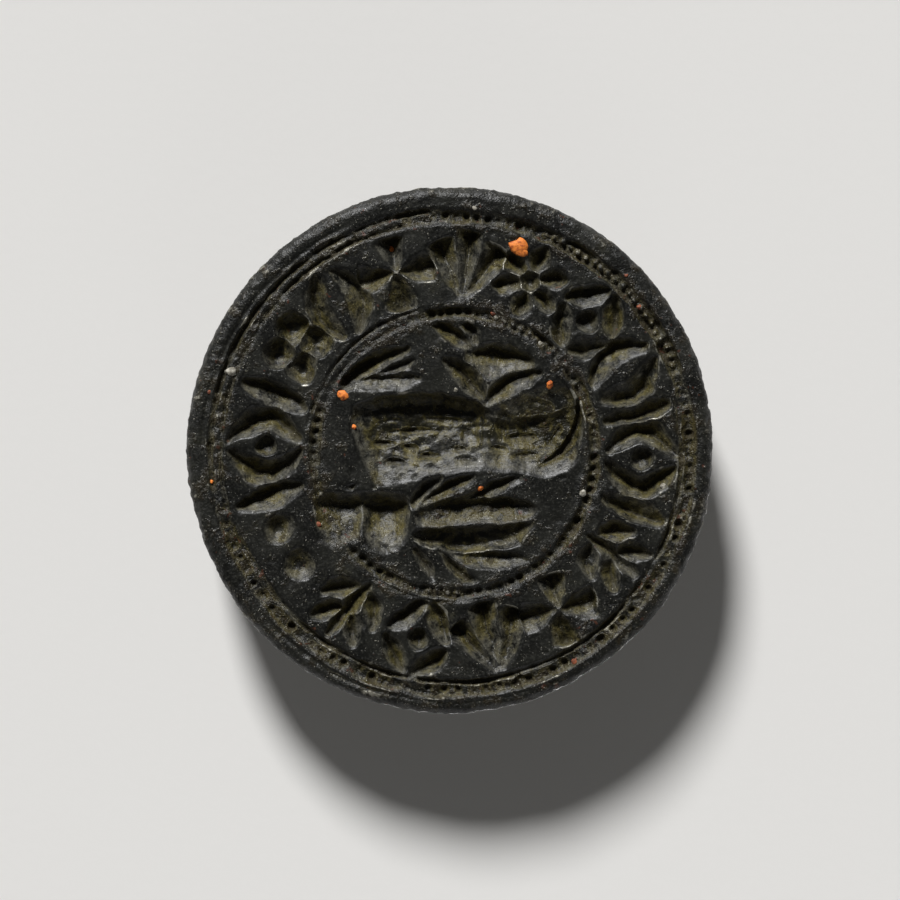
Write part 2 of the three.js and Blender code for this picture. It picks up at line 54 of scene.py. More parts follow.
lattice = np.random.default_rng(11).uniform(-1, 1, 4096)
hashing = np.array([73856093, 19349663, 83492791])   # scatters the cells over the lattice
seedStep = 13.7                            # cells between the hills of two seeds


# Smooth random hills between -1 and 1, one about every size millimetres
def hills(points, size, seed=0):
    spots = points / size + seedStep * (seed + 1)
    cell = np.floor(spots).astype(np.int64)
    part = spots - cell
    ease = part * part * (3 - 2 * part)
    total = np.zeros(len(points))
    for corner in itertools.product((0, 1), repeat=3):
        share = np.where(corner, ease, 1 - ease).prod(axis=1)
        i, j, k = ((cell + corner) * hashing).T
        total += share * lattice[(i ^ j ^ k) % len(lattice)]
    return total


# Hills with smaller ones on them, each layer half as wide and half as high
def rough(points, size, seed=0, layers=3):
    parts = [hills(points, size / 2**n, seed + n) / 2**n for n in range(layers)]
    return sum(parts)


# An unevenness given as its height and width in mm
def uneven(points, bump, seed, layers=3):
    height, width = bump
    return height * rough(points, width, seed, layers)


# 0 up to low, 1 from high, eased in between
def step(value, low, high):
    part = np.clip((value - low) / (high - low), 0, 1)
    return part * part * (3 - 2 * part)


# Scattered pits, 1 in the middle of each; the higher the threshold, the fewer there are
def pits(points, width, seed, threshold, full=0.9):
    return step(hills(points, width, seed), threshold, full)


# Spots of the face, all at height 0
def level(x, y):
    return np.column_stack([x, y, np.zeros(len(x))])


# Meshes

# Each point drifts halfway to the mean of its neighbours, once for each pass
def relaxed(values, edges, passes):
    first, second = edges.T
    size = len(values)
    count = np.bincount(edges.ravel(), minlength=size)
    result = values.reshape(size, -1).copy()
    for _ in range(passes):
        for column in result.T:
            around = np.bincount(first, column[second], size)
            around += np.bincount(second, column[first], size)
            column[:] = (column + around / count) / 2
    return result.reshape(values.shape)


def pointsOf(mesh):
    flat = np.empty(len(mesh.vertices) * 3)
    mesh.vertices.foreach_get("co", flat)
    return flat.reshape(-1, 3)


def normalsOf(mesh):
    flat = np.empty(len(mesh.vertices) * 3)
    mesh.vertex_normals.foreach_get("vector", flat)
    return flat.reshape(-1, 3)


def edgesOf(mesh):
    flat = np.empty(len(mesh.edges) * 2, np.int32)
    mesh.edges.foreach_get("vertices", flat)
    return flat.reshape(-1, 2)


def movePoints(mesh, points):
    mesh.vertices.foreach_set("co", points.ravel())
    mesh.update()


def setMark(mesh, name, values):
    mark = mesh.attributes.new(name, "FLOAT", "POINT")
    mark.data.foreach_set("value", values.astype(np.float32))


sheltered = 0.3                            # share of the wear where no hand reaches


# What the patinas read: how far a spot stands out on a crest or lies in a hollow, in mm, and
# how much it leans. Where nothing handles the metal its crests count for less
def markWear(mesh, finePasses, broadPasses, handled=1):
    points, edges, normals = pointsOf(mesh), edgesOf(mesh), normalsOf(mesh)
    fine = ((points - relaxed(points, edges, finePasses)) * normals).sum(axis=1)
    broad = ((points - relaxed(points, edges, broadPasses)) * normals).sum(axis=1)
    setMark(mesh, "crest", np.clip(fine, 0, None) * (sheltered + (1 - sheltered) * handled))
    setMark(mesh, "hollow", np.clip(-broad, 0, None))
    setMark(mesh, "lean", 1 - np.abs(normals[:, 2]))


# Turns a mesh in millimetres into a finished piece of the object
def piece(name, mesh, material, body, node=None):
    movePoints(mesh, pointsOf(mesh) * mm)
    mesh.shade_smooth()
    mesh.materials.clear()
    mesh.materials.append(material)
    made = bpy.data.objects.new(name, mesh)
    bpy.context.scene.collection.objects.link(made)
    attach(made, body)
    if node:
        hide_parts(node)
    return made


# The corners of a CAD solid where the frame has them, in mm
def cadPoints(node):
    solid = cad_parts[node]
    points = pointsOf(solid.data)
    turn = np.array(solid.matrix_world)
    return (points @ turn[:3, :3].T + turn[:3, 3]) / mm


# Shader nodes

# A socket in a sum: each operator adds its Math node
class Wire:
    def __init__(self, shade, socket):
        self.shade = shade
        self.socket = socket

    def maths(self, operation, first, second):
        return self.shade.add("ShaderNodeMath", {"operation": operation}, {0: first, 1: second})

    def __add__(self, other):
        return self.maths("ADD", self, other)

    def __radd__(self, other):
        return self.maths("ADD", other, self)

    def __sub__(self, other):
        return self.maths("SUBTRACT", self, other)

    def __rsub__(self, other):
        return self.maths("SUBTRACT", other, self)

    def __mul__(self, other):
        return self.maths("MULTIPLY", self, other)

    def __rmul__(self, other):
        return self.maths("MULTIPLY", other, self)


# The nodes of one material or world
class Shade:
    def __init__(self, owner, space="Object"):
        owner.use_nodes = True
        self.owner = owner
        self.tree = owner.node_tree
        self.tree.nodes.clear()
        self.place = self.add("ShaderNodeTexCoord", out=space)

    # Any node: its type, then its settings, then the values or links of its sockets
    def add(self, kind, settings=None, sockets=None, out=0):
        node = self.tree.nodes.new(kind)
        for key, value in (settings or {}).items():
            setattr(node, key, value)
        for key, value in (sockets or {}).items():
            if isinstance(value, Wire):
                self.tree.links.new(value.socket, node.inputs[key])
            else:
                node.inputs[key].default_value = value
        return Wire(self, node.outputs[out]) if node.outputs else node

    # Noise with a grain that many millimetres long; stretch squeezes it along each axis
    def grain(self, size, detail=2.0, stretch=None):
        spot = self.place
        if stretch:
            spot = self.add("ShaderNodeVectorMath", {"operation": "MULTIPLY"}, {0: spot, 1: stretch})
        sockets = {"Vector": spot, "Scale": 1 / (size * mm), "Detail": detail}
        return self.add("ShaderNodeTexNoise", None, sockets)

    # Round specks, one in some of the cells that are size millimetres wide. The share, from
    # 0 to 1, sets how big and how many they are
    def specks(self, size, share, edge=(-0.04, 0.1)):
        sockets = {"Vector": self.place, "Scale": 1 / (size * mm)}
        apart = self.add("ShaderNodeTexVoronoi", None, sockets)
        tint = self.add("ShaderNodeTexVoronoi", None, sockets, "Color")
        luck = self.add("ShaderNodeSeparateColor", None, {0: tint})
        return self.rise(share * luck * luck - apart, *edge)

    def mark(self, name):
        return self.add("ShaderNodeAttribute", {"attribute_name": name}, out="Fac")

    # From 0 to 1 as the value goes from low to high
    def rise(self, value, low, high):
        sockets = {0: value, 1: low, 2: high}
        return self.add("ShaderNodeMapRange", {"interpolation_type": "SMOOTHSTEP"}, sockets)

    def mix(self, share, first, second, blend="MIX"):
        sides = [side if isinstance(side, Wire) else (*side, 1.0) for side in (first, second)]
        settings = {"data_type": "RGBA", "blend_type": blend}
        return self.add("ShaderNodeMix", settings, {0: share, 6: sides[0], 7: sides[1]}, 2)

    def surface(self, colour, roughness, metallic, height, relief, specular=0.5):
        lifted = {"Distance": relief * mm, "Height": height}
        sockets = {
            "Base Color": colour,
            "Roughness": roughness,
            "Metallic": metallic,
            "Specular IOR Level": specular,
            "Normal": self.add("ShaderNodeBump", None, lifted),
        }
        return self.add("ShaderNodeBsdfPrincipled", None, sockets)

    def finish(self, shader, output="ShaderNodeOutputMaterial"):
        self.add(output, None, {"Surface": shader})
        return self.owner


# Patina

diePatina = {
    "slate": (0.0032, 0.0034, 0.0027),
    "slatePale": (0.033, 0.033, 0.027),
    "ash": (0.12, 0.117, 0.098),
    "cutGrey": (0.106, 0.101, 0.08),
    "oliveWash": (0.98, 0.86, 0.33),
    # Dark dirt of the hollows, which is also painted shade there
    "oliveDarkAndShade": (0.015, 0.012, 0.0035),
    "umber": (0.024, 0.017, 0.0085),
    "soot": (0.0035, 0.003, 0.002),
    # Rubbed metal of the crests, which is also a painted highlight along the cut edges
    "bare": (0.34, 0.325, 0.27),
    # Pale specks that are painted highlights
    "paintedGlint": (0.46, 0.44, 0.37),
    "rust": (0.075, 0.022, 0.009),
    "roughness": 0.42,
    "specular": 0.33,
    "relief": 0.037,                       # of the finest grain, in mm
    # Size in mm of each texture, and how much fine detail it has
    "textures": {
        "clouds": (2.4, 3.0),
        "film": (1.5, 3.0),
        "patches": (0.55, 3.0),
        "blooms": (0.5, 2.0),
        "dust": (0.14, 3.0),
        "sparks": (0.08, 0.0),
        "grit": (0.075, 1.0),
        "toolLines": (0.045, 2.0, (0.05, 0.05, 1.0)),   # stretched level along a wall
    },
    "specks": (0.24, 0.31),                # width in mm, and how many
    # Where each layer begins and where it is full, on the scale of what makes it
    "spans": {
        "clouds": (0.36, 0.66),
        "dust": (0.48, 0.68),
        "leaning": (0.015, 0.1),
        "deep": (0.06, 0.24),
        "wash": (0.7, 1.06),
        # Dark dirt in the hollows, partly painted shade
        "settledDirtAndShade": (0.72, 0.9),
        "crust": (0.58, 0.68),
        "soot": (0.56, 0.7),
        "rust": (0.73, 0.78),
        # Rubbed bare crests, partly a painted highlight
        "worn": (0.012, 0.03),
        # sparks and sparkling place the painted glints
        "sparks": (0.74, 0.8),
        "sparkling": (0.5, 0.6),
    },
    # How much of the metal each layer hides where it is full
    "cover": {
        "clouds": 0.34,
        "settledDirtAndShade": 0.75,
        "crust": 0.45,
        "soot": 0.5,
        "rust": 0.6,
        "worn": 0.55,
        "paintedGlints": 0.6,
    },
}


# Patina over cast metal, from what markWear and the die's own marks say of each spot. It paints some
# light too: shade in the hollows, highlights along the crests and glints
def agedBronze(name, look):
    shade = Shade(bpy.data.materials.new(name))
    spans, cover = look["spans"], look["cover"]
    marks = [shade.mark(mark) for mark in ("crest", "hollow", "depth", "lean", "decay")]
    crest, hollow, depth, lean, decay = marks
    textures = [shade.grain(*grain) for grain in look["textures"].values()]
    clouds, film, patches, blooms, dust, sparks, grit, toolLines = textures
    specks = shade.specks(*look["specks"])

    # Dark slate with paler clouds, dust and specks
    tone = cover["clouds"] * shade.rise(clouds, *spans["clouds"])
    tone = tone + shade.rise(dust, *spans["dust"]) * (0.15 + 0.6 * film)
    colour = shade.mix(tone, look["slate"], look["slatePale"])
    colour = shade.mix(specks * (1.4 * film + 0.6 * patches - 0.6), colour, look["ash"])

    # Filed walls of the cuts, and the olive wash that lies in them
    walls = shade.rise(lean, *spans["leaning"]) * shade.rise(depth, *spans["deep"])
    filed = 0.8 * toolLines + 2.6 * (patches - 0.48) + 1.4 * (dust - 0.5) + 0.8 * (film - 0.4)
    colour = shade.mix(walls * filed, colour, look["cutGrey"])
    dampness = 0.35 * depth + 0.6 * hollow + 0.12 * decay + film + 0.35 * patches
    washed = shade.mix(1.0, colour, look["oliveWash"], "MULTIPLY")
    colour = shade.mix(shade.rise(dampness, *spans["wash"]), colour, washed)

    # Dark dirt in the hollows, partly painted shade there, then crust, soot and blooms of rust
    settledDirtAndShade = shade.rise(2.2 * hollow + 0.8 * patches + 0.4 * film, *spans["settledDirtAndShade"])
    colour = shade.mix(cover["settledDirtAndShade"] * settledDirtAndShade, colour, look["oliveDarkAndShade"])
    crust = shade.rise(0.12 * decay + 0.6 * patches + 0.4 * film, *spans["crust"])
    colour = shade.mix(cover["crust"] * crust, colour, look["umber"])
    colour = shade.mix(cover["soot"] * shade.rise(grit, *spans["soot"]), colour, look["soot"])
    rust = shade.rise(blooms + 0.06 * decay, *spans["rust"])
    colour = shade.mix(cover["rust"] * rust, colour, look["rust"])

    # Bare metal on the rubbed crests, partly a painted highlight along the cut edges, and glints
    # painted in as highlights
    worn = shade.rise(crest * (6.0 * film - 2.6) + 0.02 * (dust - 0.5), *spans["worn"])
    colour = shade.mix(cover["worn"] * worn, colour, look["bare"])
    # Glints: pale specks painted into the colour as painted highlights
    sparkling = shade.rise(patches + 0.1 * decay, *spans["sparkling"])
    paintedGlints = shade.rise(sparks, *spans["sparks"]) * sparkling
    colour = shade.mix(cover["paintedGlints"] * paintedGlints, colour, look["paintedGlint"])

    dull = 0.25 * settledDirtAndShade - 0.12 * worn + 0.03 * walls - 0.2 * paintedGlints
    roughness = look["roughness"] + dull + 0.2 * (dust - 0.5) + 0.2 * (film - 0.5)
    height = 0.9 * toolLines * walls + dust * (0.5 + 0.3 * walls + 1.2 * decay)
    height = height + grit * (0.2 + 0.5 * decay) + 0.7 * specks
    height = height + 1.5 * patches * (settledDirtAndShade + crust)
    sheen = look["relief"], look["specular"]
    return shade.finish(shade.surface(colour, roughness, 0.3 * worn, height, *sheen))


# The die

# Lengths in mm. A pair in brackets is a height and a width, or where a change starts and ends
die = {
    "cell": 0.085,      # of the face's grid
    "turns": 1024,       # most points round a row
    "fewest": 8,                           # fewest points round a row
    "sideStep": 0.2,
    "backStep": 0.3,
    "rounding": 0.72,                      # of the face's edge
    "chamfer": 0.35,                       # of the back's edge, rounded
    "arcs": 7,                             # points in the edge's rounding
    "waver": 0.09,                         # how far the worn outline strays inwards
    "sway": (0.15, 1.1),                   # of a cut's edges
    "strokes": (0.1, 0.7),                 # of a cut's depth, as a share of it
    "floors": (0.045, 0.45),               # of a cut's floor
    "gouging": (0.04, 0.8),                # long marks in the deep cuts
    "ringReach": 0.62,                     # off a bead ring, where the CAD's own marks go
    "ringDepth": 0.55,                     # a deeper cut stays where it crosses a bead ring
    "headEdge": (0.02, 0.12),              # depths of the head where a bead ring ends
    "burr": 0.03,                          # metal raised along a cut
    "swell": (0.03, 3.2),                  # of the hand-finished metal
    "dents": 0.1,                          # in the bruised edge
    "pitting": 0.05,
    "decay": 0.055,                        # depth of the corrosion
    "skinTop": 0.04,                       # the highest swell, which ends at the CAD's surface
    "decayInClouds": 0.7,
    "decayBelow": 0.6,                     # on the rim's lower side
    "decayOnRim": 0.55,
    "lowerRim": (14.4, 15.2),              # radii
    "rim": (14.8, 15.4),
    "outerEdge": (14.9, 15.5),
    "aboveBack": (0.6, 2.2),               # heights above the back, where hands reach the side
    "wearPasses": (3, 24),                 # for what stands out from a little and a lot around
}

dieLow, dieHigh = [np.array(corner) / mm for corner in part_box("die_disc")]
faceLevel, backLevel, edgeRadius = dieHigh[2], dieLow[2], dieHigh[0]

# Rows of pits punched in a channel. Round the ring, in degrees: close is where the pits come
# nearer to each other, worn the stretch where they are nearly rubbed away, and raised where
# the metal left between them stands up as beads
outerRing = {
    "centre": (0.2, -0.22),
    "radius": 14.27,
    "width": 1.0,
    "depth": 0.26,
    "pit": 0.5,
    "pitDepth": 0.4,
    "pitch": 0.84,
    "closePitch": 0.56,
    "close": 42,
    "worn": (92, 200),
    "raised": [(12, 76)],
}
innerRing = {
    "centre": (0.28, -0.18),
    "radius": 8.47,
    "width": 0.8,
    "depth": 0.24,
    "pit": 0.54,
    "pitDepth": 0.4,
    "pitch": 0.64,
    "closePitch": 0.56,
    "close": 50,
    "worn": (98, 172),
    "raised": [(20, 84), (246, 282)],
}

# How unevenly the pits were punched, as shares unless it says mm
punching = {
    "pitch": (0.84, 1.16),
    "shift": (-0.07, 0.07),                # off the ring's line, in mm
    "size": (0.7, 1.15),
    "depth": (0.0, 1.4),
    "kept": (0.2, 1.1),                    # the depths are clipped to these
    "crowded": 1.1,                        # how far round the pitch is closer, in radians
    "beadHeight": 0.95,
    "beadSize": 0.52,
    "rubbed": 0.75,                        # depth lost where a ring is worn
    "deepened": 0.7,                       # depth gained by the channel where beads stand up
    "slope": 0.24,                         # width of the channel's sides, in mm
}

# Worn grooves beside the rings: radius, from and to in degrees, width, depth
grooves = [
    (14.62, 88, 208, 0.5, 0.36),
    (14.0, 92, 204, 0.42, 0.3),
    (15.1, 110, 190, 0.3, 0.1),
    (13.72, 196, 380, 0.5, 0.34),
    (15.0, 215, 330, 0.4, 0.14),
    (8.85, 96, 172, 0.32, 0.26),
    (8.3, 100, 168, 0.3, 0.22),
    (8.9, 230, 300, 0.3, 0.16),
]

# Short touches of the graver on the beast: start, end, width, depth. A depth below zero is a
# ridge that was left standing
touches = [
    ((-4.9, 0.32), (-3.2, 0.38), 0.44, 0.3),
    ((-3.8, 1.06), (-0.6, 1.14), 0.4, 0.24),
    ((-2.95, 0.16), (-1.85, 0.08), 0.42, 0.28),
    ((-1.95, -0.4), (-0.5, -0.4), 0.46, 0.3),
    ((-3.95, -0.72), (-2.65, -0.8), 0.46, 0.3),
    ((0.0, 0.04), (1.15, 0.0), 0.4, 0.28),
    ((0.9, 1.3), (2.6, 1.4), 0.36, 0.22),
    ((0.2, -0.62), (1.5, -0.6), 0.36, 0.22),
    ((-1.6, 1.86), (0.9, 1.76), 0.36, 0.18),
    ((3.3, 0.64), (5.3, 0.72), 0.74, 0.34),
    ((2.3, 0.1), (3.5, 0.0), 0.4, 0.24),
    ((3.6, -0.5), (5.4, -0.34), 0.6, 0.28),
    ((2.6, 2.3), (4.3, 1.7), 0.5, 0.2),
    ((4.1, 1.5), (6.1, 1.9), 0.5, 0.22),
    ((4.6, 3.0), (6.4, 2.5), 0.5, 0.18),
    ((7.5, 2.9), (2.2, 2.1), 2.0, -0.34),
    ((-4.6, 1.6), (-3.0, 1.84), 0.36, 0.18),
    ((1.8, 2.2), (1.74, 0.1), 0.34, -0.16),
    ((-7.3, -4.2), (-7.24, -5.5), 0.4, 0.07),
    ((-6.6, -4.1), (-6.5, -5.6), 0.44, 0.09),
    ((-5.9, -4.2), (-5.8, -5.4), 0.4, 0.07),
    ((-3.2, -4.3), (-3.5, -5.7), 0.5, 0.08),
]

# The beast's head, two hollows side by side under one steep wall, with a long slope down
# from it to a foot that hangs lower in each hollow
heads = {
    "middle": -5.22,
    "halfWidth": 2.9,
    "top": -2.5,
    "foot": -5.0,
    "depth": 1.15,
    "steep": 0.26,                         # share of the height that the steep wall takes
    "hollows": [(-6.65, 1.45, 0.8), (-3.86, 1.45, 1.15)],   # middle, half width, drop
    "deeper": 0.25,                        # the right hollow than the left one
    "ridge": 0.16,                         # left between the two
    "ridgeWidth": 0.32,
    "within": [(-6.66, -4.2, 1.55, 1.8), (-3.84, -4.38, 1.6, 1.95), (-5.25, -2.75, 0.7, 0.65)],
}


# The same direction, between -pi and pi
def wrapped(angle):
    return (angle + math.pi) % (2 * math.pi) - math.pi


# 1 between two directions in degrees, easing to 0 over the last few
def stretch(around, start, end, ease=14):
    along = (around - start) % 360
    return step(along, 0, ease) * step(end - start - along, 0, ease) * (along < end - start)


# How far outside a ring's line each spot lies
def offRing(x, y, ring):
    return np.hypot(x - ring["centre"][0], y - ring["centre"][1]) - ring["radius"]


# The channel of a bead ring with its pits, each struck by hand
def ringCut(x, y, ring, seed):
    random = np.random.default_rng(seed)
    u, v = x - ring["centre"][0], y - ring["centre"][1]
    around, off = np.arctan2(v, u), offRing(x, y, ring)
    near = np.abs(off) < ring["width"]
    u, v, around, off = u[near], v[near], around[near], off[near]

    places = [-math.pi]
    while places[-1] < math.pi:
        away = abs(wrapped(places[-1] - math.radians(ring["close"])))
        closeness = max(0.0, 1 - away / punching["crowded"])
        pitch = ring["pitch"] + (ring["closePitch"] - ring["pitch"]) * min(1.0, 2 * closeness)
        places.append(places[-1] + pitch * random.uniform(*punching["pitch"]) / ring["radius"])
    places = np.array(places[:-1])
    shift = random.uniform(*punching["shift"], len(places))
    size = ring["pit"] / 2 * random.uniform(*punching["size"], len(places))
    struck = random.uniform(*punching["depth"], len(places))
    sunk = ring["pitDepth"] * np.clip(struck, *punching["kept"])
    beads = sum(stretch(np.degrees(places), *part) for part in ring["raised"])
    sunk = sunk * (1 - beads) - punching["beadHeight"] * ring["pitDepth"] * beads
    size = size + (punching["beadSize"] * ring["pit"] - size) * beads

    ripple = rough(level(u, v), 0.9, seed)
    rim = ring["width"] / 2 * (1 + 0.12 * ripple)
    facing = np.degrees(around)
    kept = 1 - punching["rubbed"] * stretch(facing, *ring["worn"])
    deep = 1 + punching["deepened"] * sum(stretch(facing, *part) for part in ring["raised"])
    side = step(rim - np.abs(off), 0, punching["slope"])
    channel = ring["depth"] * (1 + 0.5 * ripple) * deep * kept * side
    after = np.searchsorted(places, around) % len(places)
    punched = np.zeros(len(around))
    for which in (after - 1, after):
        along = wrapped(around - places[which]) * ring["radius"]
        apart = np.hypot(along, off - shift[which]) / size[which]
        punched += sunk[which] * step(1.15 - apart, 0, 1.0)
    cut = np.zeros(len(x))
    cut[near] = channel + punched * kept
    return cut


# A groove that follows part of a ring with a wavering line
def grooveCut(x, y, groove, seed):
    radius, start, end, width, depth = groove
    centre = outerRing["centre"]
    around = np.degrees(np.arctan2(y - centre[1], x - centre[0]))
    ripple = rough(level(x, y), 1.3, seed)
    off = np.abs(np.hypot(x - centre[0], y - centre[1]) - radius - 0.1 * ripple)
    wall = step(width / 2 - off, 0, width / 2)
    return depth * stretch(around, start, end) * wall * (1 + 0.8 * ripple)


# A lens-shaped cut between two spots, widest and deepest in the middle. The graver leans, so
# the side left of the run is the steeper one
def touchCut(x, y, touch, lean=0.5):
    start, end, width, depth = touch
    start, end = np.array(start), np.array(end)
    run = end - start
    length = np.hypot(*run)
    along = ((x - start[0]) * run[0] + (y - start[1]) * run[1]) / length**2
    off = ((y - start[1]) * run[0] - (x - start[0]) * run[1]) / length
    fullness = np.sqrt(np.clip(4 * along * (1 - along), 0, 1))
    across = off / (width / 2 * np.maximum(fullness, 0.05))
    wall = np.minimum((1 - across) / (1 - lean), (1 + across) / (1 + lean))
    return depth * fullness * np.clip(wall, 0, 1)


# The two round pits of the border, wide and soft: centre, radius, depth
stops = [((-10.25, -4.68), 1.0, 0.6), ((-9.05, -6.85), 1.0, 0.6)]


def stopCut(cut, x, y):
    for (u, v), radius, depth in stops:
        away = np.hypot(x - u, y - v) / radius
        bowl = depth * np.clip(1 - away**2, 0, 1)
        cut = np.where(away < 1.15, bowl, cut)
    return cut


def headCut(x, y):
    off = x - heads["middle"]
    whole = np.sqrt(np.clip(1 - np.abs(off / heads["halfWidth"]) ** 5, 0, 1))
    foot, belly = heads["foot"] + 0 * x, 0 * x
    for middle, half, drop in heads["hollows"]:
        fullness = np.sqrt(np.clip(1 - ((x - middle) / half) ** 2, 0, 1))
        foot = np.minimum(foot, heads["foot"] - drop * fullness)
        belly = np.maximum(belly, fullness)
    down = (heads["top"] - y) / (heads["top"] - foot)
    wall = np.minimum(down / heads["steep"], (1 - down) / (1 - heads["steep"]))
    depth = (heads["depth"] + heads["deeper"] * step(off, -0.3, 0.6)) * (0.66 + 0.34 * belly)
    ridge = heads["ridge"] * np.exp(-((off / heads["ridgeWidth"]) ** 2)) * step(down, 0.2, 0.6)
    return np.maximum(depth * whole * step(wall, -0.25, 1.25) * (wall > 0) - ridge, 0)


# 1 inside the round hollows that the CAD model has there
def inHeads(x, y):
    inside = np.zeros(len(x))
    for u, v, wide, high in heads["within"]:
        inside = np.maximum(inside, step(1.2 - np.hypot((x - u) / wide, (y - v) / high), 0, 0.12))
    return inside


scratch = {
    "count": 60,
    "reach": 13,                           # from the middle to where the furthest may start
    "length": (0.8, 4.5),
    "width": (0.1, 0.2),
    "depth": (0.012, 0.035),
}


# Fine random scratches from handling
def scratches(x, y):
    random = np.random.default_rng(23)
    cut = np.zeros(len(x))
    for _ in range(scratch["count"]):
        start = random.uniform(-scratch["reach"], scratch["reach"], 2)
        heading = random.uniform(0, 2 * math.pi)
        run = np.array([math.cos(heading), math.sin(heading)])
        end = start + random.uniform(*scratch["length"]) * run
        width, depth = random.uniform(*scratch["width"]), random.uniform(*scratch["depth"])
        cut = np.maximum(cut, touchCut(x, y, (start, end, width, depth), 0))
    return cut


# How deep the CAD face is cut below each spot
def cadCut(x, y):
    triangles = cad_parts["die_disc"].data
    triangles.calc_loop_triangles()
    faces = [tuple(t.vertices) for t in triangles.loop_triangles]
    tree = BVHTree.FromPolygons([Vector(p) for p in cadPoints("die_disc")], faces)
    down = Vector((0, 0, -1))
    top = faceLevel + 1
    found = [tree.ray_cast(Vector((u, v, top)), down)[0] for u, v in zip(x, y)]
    return faceLevel - np.array([spot.z if spot else faceLevel for spot in found])


# The depth of every cut, in mm below the face
def faceCut(x, y):
    spots = level(x, y)
    sway = [uneven(spots, die["sway"], seed, 4) for seed in (61, 67)]
    swayed = x + sway[0], y + sway[1]
    carved = cadCut(*swayed)
    headed, head = inHeads(*swayed), headCut(*swayed)
    carved = stopCut(np.maximum(carved * (1 - headed), head), *swayed)
    cut = carved * (1 + uneven(spots, die["strokes"], 71) * (1 - 0.7 * headed))
    floors = uneven(spots, die["floors"], 77) * step(carved, 0.1, 0.4)
    cut += floors * (1 - 0.75 * headed)
    gouging = uneven(level(x * 0.45, y * 1.3), die["gouging"], 73)
    cut += gouging * step(carved, 0.35, 0.7) * (1 - headed)
    for seed, ring in enumerate((outerRing, innerRing), 31):
        inRing = np.abs(offRing(x, y, ring)) < die["ringReach"]
        cut[inRing & (carved < die["ringDepth"]) & (head < die["headEdge"][0])] = 0
        ringed = ringCut(x, y, ring, seed) * (1 - step(head, *die["headEdge"]))
        cut = np.maximum(cut, ringed)
    for seed, groove in enumerate(grooves):
        cut = np.maximum(cut, grooveCut(x, y, groove, seed))
    for touch in touches:
        cut += touchCut(x, y, touch)
    return cut + scratches(x, y)


# Rows along an arc of the outline: its middle and radius, and angles above level in degrees
def arcRows(out, height, radius, angles):
    turns = np.radians(angles)
    return [(out + radius * math.cos(a), height + radius * math.sin(a)) for a in turns]


# Rows of points from the middle of the face over the edge to the middle of the back:
# radius, height and the number of points in each
def dieRows():
    cell, rounding, chamfer = die["cell"], die["rounding"], die["chamfer"]
    flat = edgeRadius - rounding
    face = [(r, faceLevel) for r in np.linspace(cell, flat, round(flat / cell))]
    edge = arcRows(flat, faceLevel - rounding, rounding, np.linspace(90, 0, die["arcs"])[1:])
    heights = np.arange(faceLevel - rounding, backLevel + chamfer, -die["sideStep"])[1:]
    side = [(edgeRadius, z) for z in heights]
    under = edgeRadius - chamfer
    bevel = arcRows(under, backLevel + chamfer, chamfer, np.linspace(0, -90, die["arcs"] - 1))
    back = [(r, backLevel) for r in np.arange(under, die["backStep"] / 2, -die["backStep"])[1:]]
    outer = face + edge + side + bevel
    rows = []
    for position, (radius, height) in enumerate(outer + back):
        wide = cell if position < len(outer) else die["backStep"]
        wanted = 2 ** round(math.log2(2 * math.pi * radius / wide))
        if position == 0:
            count = max(die["fewest"], wanted)
        elif wanted > count:
            count = min(count * 2, die["turns"])
        elif wanted < count:
            count = max(count // 2, die["fewest"])
        rows.append((radius, height, count))
    return rows


# The points of a row along one face, where the row is shared out evenly among its faces
def rowSpan(start, count, faces, number):
    share = count // faces
    return [start + (number * share + n) % count for n in range(share + 1)]


# Faces between two neighbouring rows, whose counts are equal or differ by a factor of two
def rowFaces(start, count, after, nextCount):
    fewer = min(count, nextCount)
    faces = []
    for number in range(fewer):
        inner = rowSpan(start, count, fewer, number)
        outer = rowSpan(after, nextCount, fewer, number)
        if count > nextCount:
            faces.append(outer + inner[::-1])
        else:
            faces.append(inner[:1] + outer + inner[:0:-1])
    return faces


# The plain die, before anything is cut
def dieGrid():
    rows = dieRows()
    points, faces = [], []
    start = 0
    for (radius, height, count), following in zip(rows, rows[1:] + [None]):
        turn = np.arange(count) * 2 * math.pi / count
        ring = [radius * np.cos(turn), radius * np.sin(turn), 0 * turn + height]
        points.append(np.column_stack(ring))
        if following:
            faces += rowFaces(start, count, start + count, following[2])
        start += count
    faces.insert(0, range(rows[0][2]))
    faces.append(range(start - 1, start - 1 - rows[-1][2], -1))
    points = np.concatenate(points)
    mesh = bpy.data.meshes.new("dieFace")
    mesh.from_pydata(points.tolist(), [], faces)
    return mesh, points


# The cut face: how deep each point lies, and the burr that the graver raised beside it
def carving(mesh, points, radius):
    onFace = (points[:, 2] > faceLevel - 1e-6) & (radius < edgeRadius - 0.6)
    depth = np.zeros(len(points))
    depth[onFace] = faceCut(points[onFace, 0], points[onFace, 1])
    edges = edgesOf(mesh)
    depth = relaxed(depth, edges, 2)
    beside = relaxed((depth > 0.1).astype(float), edges, 3)
    patchy = step(rough(points, 1.3, 21), 0.0, 0.5)
    return depth, die["burr"] * (beside * (1 - beside) * 4 * patchy)


# Where the metal is corroded, from 0 to 1: in clouds, along the bead rings and round the rim,
# most on the lower side
def corrosion(points, radius):
    decay = die["decayInClouds"] * step(rough(points, 3.5, 19), 0.35, 0.8)
    for ring in (outerRing, innerRing):
        off = np.abs(offRing(*points.T[:2], ring))
        decay = np.maximum(decay, step(1.0 - off + 0.3 * rough(points, 1.8, 15), 0, 0.6))
    lowerSide = step(-points[:, 1] + 0.4 * points[:, 0], -4, 8)
    decay = np.maximum(decay, die["decayBelow"] * (lowerSide * step(radius, *die["lowerRim"])))
    return np.maximum(decay, die["decayOnRim"] * step(radius, *die["rim"]))


